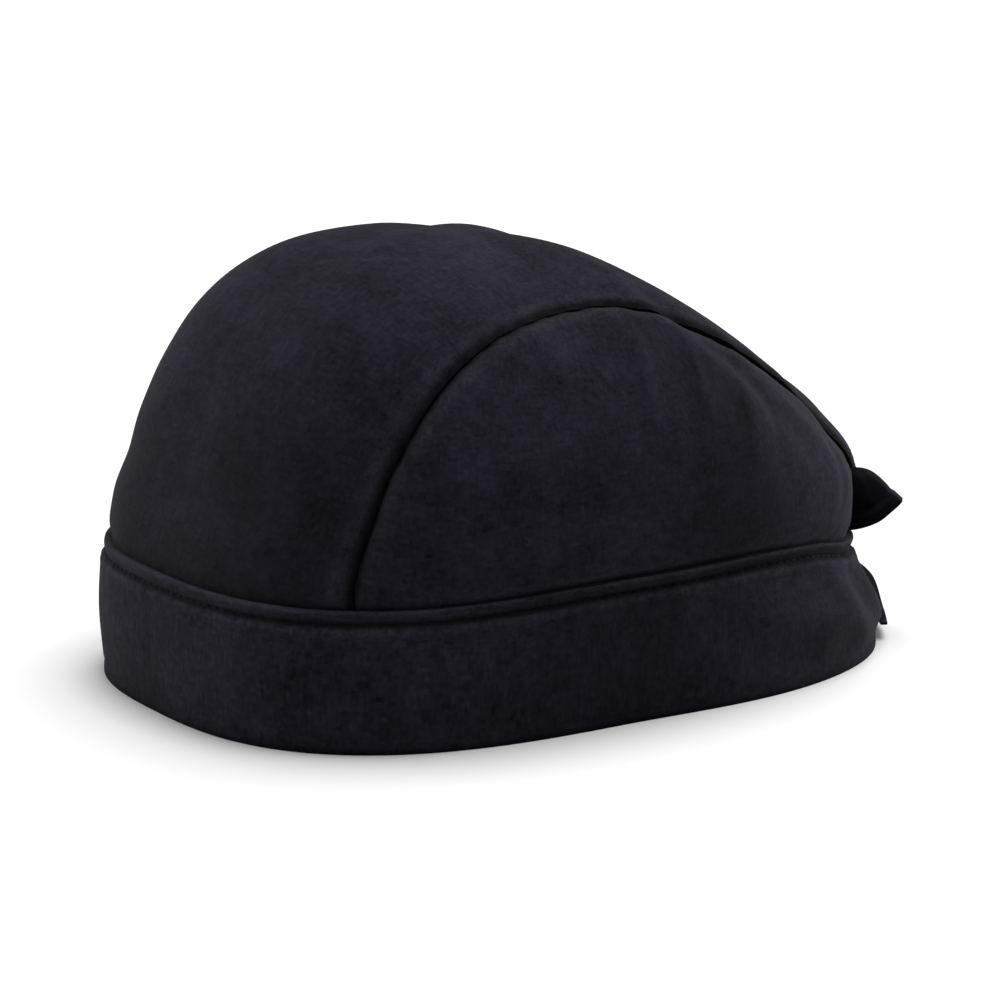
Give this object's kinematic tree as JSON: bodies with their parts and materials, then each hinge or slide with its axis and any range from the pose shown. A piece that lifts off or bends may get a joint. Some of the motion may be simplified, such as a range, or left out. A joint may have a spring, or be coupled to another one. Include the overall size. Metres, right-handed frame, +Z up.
{
  "type": "tie-back three-panel cloth skullcap",
  "caption": "Soft black cotton tie-back skullcap: a wide centre panel ending in a back flap, two side panels, an edge-stitched headband and a knotted tie.",
  "frame": {"origin": "Middle of the cap's footprint on the surface it rests on, under the lower edge of the headband.", "axes": "+Z up from the lower edge of the headband to the crown; -Y towards the front of the cap (the forehead) and +Y towards the back flap and tie; +X towards the wearer's left."},
  "size_m": [0.159, 0.2176, 0.1182],
  "materials": {
    "crown_cloth": "plain-weave cotton, matt, near-black navy",
    "band_cloth": "the same cotton, folded double and edge-stitched"
  },
  "bodies": {
    "root": {"headband": "band_cloth", "centre_panel": "crown_cloth", "side_panel_left": "crown_cloth", "side_panel_right": "crown_cloth", "tie_strap_left": "band_cloth", "tie_strap_right": "band_cloth", "tie_knot": "band_cloth", "tie_end_left": "band_cloth", "tie_end_right": "band_cloth"}
  },
  "joints": []
}
